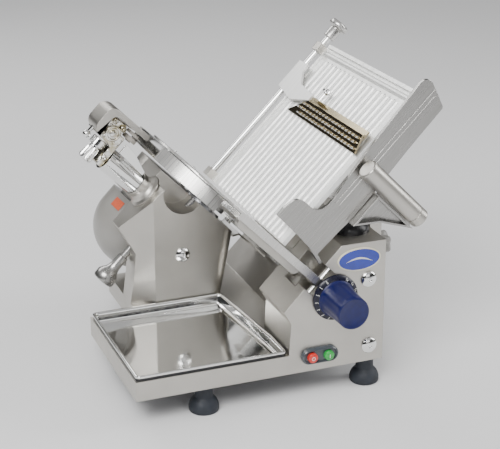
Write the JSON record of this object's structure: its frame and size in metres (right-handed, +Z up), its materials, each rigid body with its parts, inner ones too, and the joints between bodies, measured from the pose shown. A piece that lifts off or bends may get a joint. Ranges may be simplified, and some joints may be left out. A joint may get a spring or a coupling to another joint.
{
  "type": "deli meat slicer",
  "caption": "Gravity-feed meat slicer with an inclined round knife, ribbed sliding chute, toothed pusher, thickness dial, slice tray and top sharpener.",
  "frame": {"origin": "on the floor under the middle of the machine's overall box at rest", "axes": "+X to the operator's right, +Y away from the operator, +Z up; the chute rises to the right at 45 degrees"},
  "size_m": [0.4864, 0.526, 0.5049],
  "materials": {
    "cast_aluminium": "satin",
    "bright_stainless": "mirror polished",
    "brushed_aluminium": "brushed",
    "white_anodised": "matt anodised",
    "polished_steel": "polished",
    "knife_steel": "ground and polished",
    "dark_steel": "machined",
    "navy_plastic": "satin",
    "black_plastic": "satin",
    "grey_plastic": "satin",
    "red_plastic": "gloss",
    "green_plastic": "gloss",
    "blue_enamel": "gloss",
    "rubber": "matt",
    "belt_rubber": "matt",
    "abrasive": "abrasive",
    "copper": "lacquered winding",
    "motor_paint": "satin"
  },
  "bodies": {
    "base": {"base_housing": "cast_aluminium", "base_bottom_cover": "dark_steel", "tray_gasket": "black_plastic", "rubber_feet": "rubber", "front_badge": "blue_enamel", "switch_bezel": "grey_plastic", "panel_screws": "polished_steel", "top_cap": "black_plastic", "cord_gland": "black_plastic", "gauge_slide_rod": "polished_steel", "knife_housing": "cast_aluminium", "bearing_carrier": "dark_steel", "knife_bearings": "polished_steel", "knife_cover": "brushed_aluminium", "cover_screws": "polished_steel", "ring_guard": "brushed_aluminium", "motor_housing": "motor_paint", "motor_stator": "copper", "drive_belt": "belt_rubber", "housing_screw": "polished_steel", "carriage_rod": "polished_steel", "sharpener_collar": "cast_aluminium", "sharpener_pin": "polished_steel", "slice_deflector": "bright_stainless"},
    "tray": {"slice_tray": "bright_stainless"},
    "dial": {"thickness_dial": "navy_plastic", "index_spindle": "dark_steel"},
    "gauge": {"gauge_plate": "brushed_aluminium", "gauge_bracket": "cast_aluminium"},
    "stop_button": {"stop_button": "red_plastic"},
    "start_button": {"start_button": "green_plastic"},
    "knife": {"knife": "knife_steel", "knife_shaft": "dark_steel", "knife_pulley": "dark_steel"},
    "rotor": {"motor_shaft": "dark_steel", "motor_pulley": "dark_steel"},
    "cover_knob": {"cover_knob": "brushed_aluminium"},
    "carriage": {"carriage_slider": "dark_steel", "carriage_post": "cast_aluminium", "chute_floor": "white_anodised", "chute_side_plate": "brushed_aluminium", "chute_far_rail": "white_anodised", "handle_bracket": "brushed_aluminium", "handle_grip": "cast_aluminium", "pusher_rod": "polished_steel", "rod_end_blocks": "cast_aluminium"},
    "clamp_knob": {"clamp_knob": "cast_aluminium"},
    "rod_knob": {"rod_knob": "brushed_aluminium"},
    "pusher_ring": {"pusher_ring": "polished_steel"},
    "pusher": {"pusher_arm": "white_anodised", "pusher_plate": "polished_steel", "pusher_screw": "polished_steel"},
    "sharpener_post": {"sharpener_post": "brushed_aluminium"},
    "sharpener_head": {"sharpener_body": "polished_steel", "sharpener_cover": "cast_aluminium", "sharpener_handle": "polished_steel", "stone_guard": "polished_steel"},
    "grinding_stone": {"grinding_stone": "abrasive"},
    "honing_stone": {"honing_stone": "abrasive"},
    "stone_button": {"stone_button": "polished_steel"}
  },
  "joints": [
    {"name": "tray_lift", "type": "slide", "parent": "base", "child": "tray", "axis": [0, 0, 1], "range_m": [0, 0.03]},
    {"name": "dial_turn", "type": "hinge", "parent": "base", "child": "dial", "pos_m": [0.06995, -0.195, 0.1615], "axis": [0, 1, 0], "range_deg": [0, 300]},
    {"name": "gauge_slide", "type": "slide", "parent": "base", "child": "gauge", "axis": [-0.7071, 0, -0.7071], "range_m": [0, 0.0141]},
    {"name": "stop_press", "type": "slide", "parent": "base", "child": "stop_button", "axis": [0, 1, 0], "range_m": [0, 0.0025], "stiffness_N_per_m": 800, "springref_m": -0.001},
    {"name": "start_press", "type": "slide", "parent": "base", "child": "start_button", "axis": [0, 1, 0], "range_m": [0, 0.0025], "stiffness_N_per_m": 800, "springref_m": -0.001},
    {"name": "knife_spin", "type": "hinge", "parent": "base", "child": "knife", "pos_m": [-0.0198, 0.08, 0.25173], "axis": [0.7071, 0, 0.7071], "continuous": true},
    {"name": "motor_spin", "type": "hinge", "parent": "base", "child": "rotor", "pos_m": [-0.12092, 0.189, 0.16758], "axis": [0.7071, 0, 0.7071], "continuous": true},
    {"name": "cover_knob_turn", "type": "hinge", "parent": "base", "child": "cover_knob", "pos_m": [-0.19729, 0.105, 0.12091], "axis": [0.7071, 0, 0.7071], "range_deg": [0, 360]},
    {"name": "carriage_slide", "type": "slide", "parent": "base", "child": "carriage", "axis": [0, 1, 0], "range_m": [-0.03, 0.24]},
    {"name": "clamp_knob_turn", "type": "hinge", "parent": "carriage", "child": "clamp_knob", "pos_m": [0.18675, -0.115, 0.2025], "axis": [1, 0, 0], "range_deg": [0, 360]},
    {"name": "rod_knob_turn", "type": "hinge", "parent": "carriage", "child": "rod_knob", "pos_m": [0.21213, 0.131, 0.48366], "axis": [0.7071, 0, 0.7071], "range_deg": [0, 360]},
    {"name": "pusher_slide", "type": "slide", "parent": "carriage", "child": "pusher_ring", "axis": [0.7071, 0, 0.7071], "range_m": [-0.145, 0.025]},
    {"name": "pusher_swing", "type": "hinge", "parent": "pusher_ring", "child": "pusher", "pos_m": [0.14283, 0.131, 0.41436], "axis": [-0.7071, 0, -0.7071], "range_deg": [0, 85]},
    {"name": "post_lift", "type": "slide", "parent": "base", "child": "sharpener_post", "axis": [-0.7071, 0, 0.7071], "range_m": [0, 0.02]},
    {"name": "head_turn", "type": "hinge", "parent": "sharpener_post", "child": "sharpener_head", "pos_m": [-0.19658, 0.095, 0.32386], "axis": [-0.7071, 0, 0.7071], "range_deg": [0, 180]},
    {"name": "grinding_stone_spin", "type": "hinge", "parent": "sharpener_head", "child": "grinding_stone", "pos_m": [-0.15557, 0.096, 0.35073], "axis": [0.7071, 0, 0.7071], "continuous": true},
    {"name": "honing_stone_spin", "type": "hinge", "parent": "sharpener_head", "child": "honing_stone", "pos_m": [-0.14991, 0.096, 0.35638], "axis": [0.7071, 0, 0.7071], "continuous": true},
    {"name": "stone_button_press", "type": "slide", "parent": "sharpener_head", "child": "stone_button", "axis": [0.7071, 0, 0.7071], "range_m": [0, 0.005], "stiffness_N_per_m": 600, "springref_m": -0.001}
  ],
  "couplings": [
    {"joint": "gauge_slide", "follows": "dial_turn", "m_per_rad": 0.0026738},
    {"joint": "motor_spin", "follows": "knife_spin", "ratio": 2}
  ]
}
